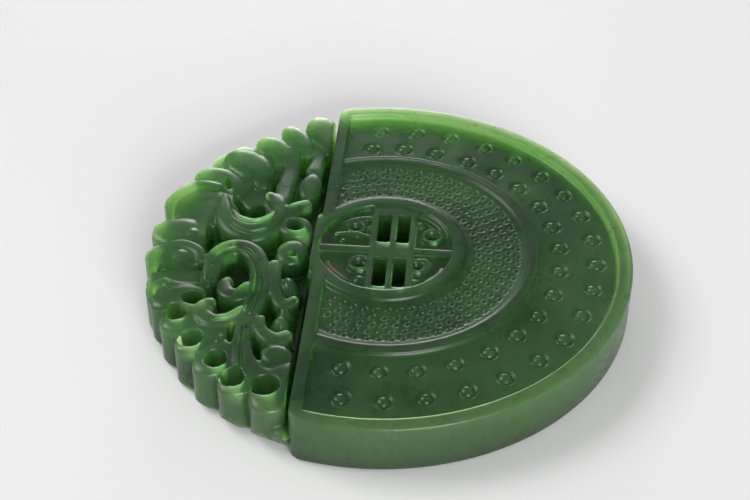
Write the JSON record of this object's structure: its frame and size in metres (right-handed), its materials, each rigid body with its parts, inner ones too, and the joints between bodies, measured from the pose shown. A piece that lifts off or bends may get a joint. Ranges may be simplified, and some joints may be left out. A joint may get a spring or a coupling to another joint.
{
  "type": "jade pendant",
  "caption": "Round openwork pendant of carved green jade: one side plain with a rim, ring bands, bosses and a pierced fret medallion, the other side carved through with curls and locks.",
  "frame": {"origin": "centre of the disc on its flat back face", "axes": "+Z out of the carved face, +X from the openwork side to the flat side, +Y along the straight bar that divides them"},
  "size_m": [0.0544, 0.056, 0.0061],
  "materials": {
    "jade": "waxy polish on green jade, a stone that lets some light through"
  },
  "bodies": {
    "root": {"jade_pendant": "jade"}
  },
  "joints": []
}
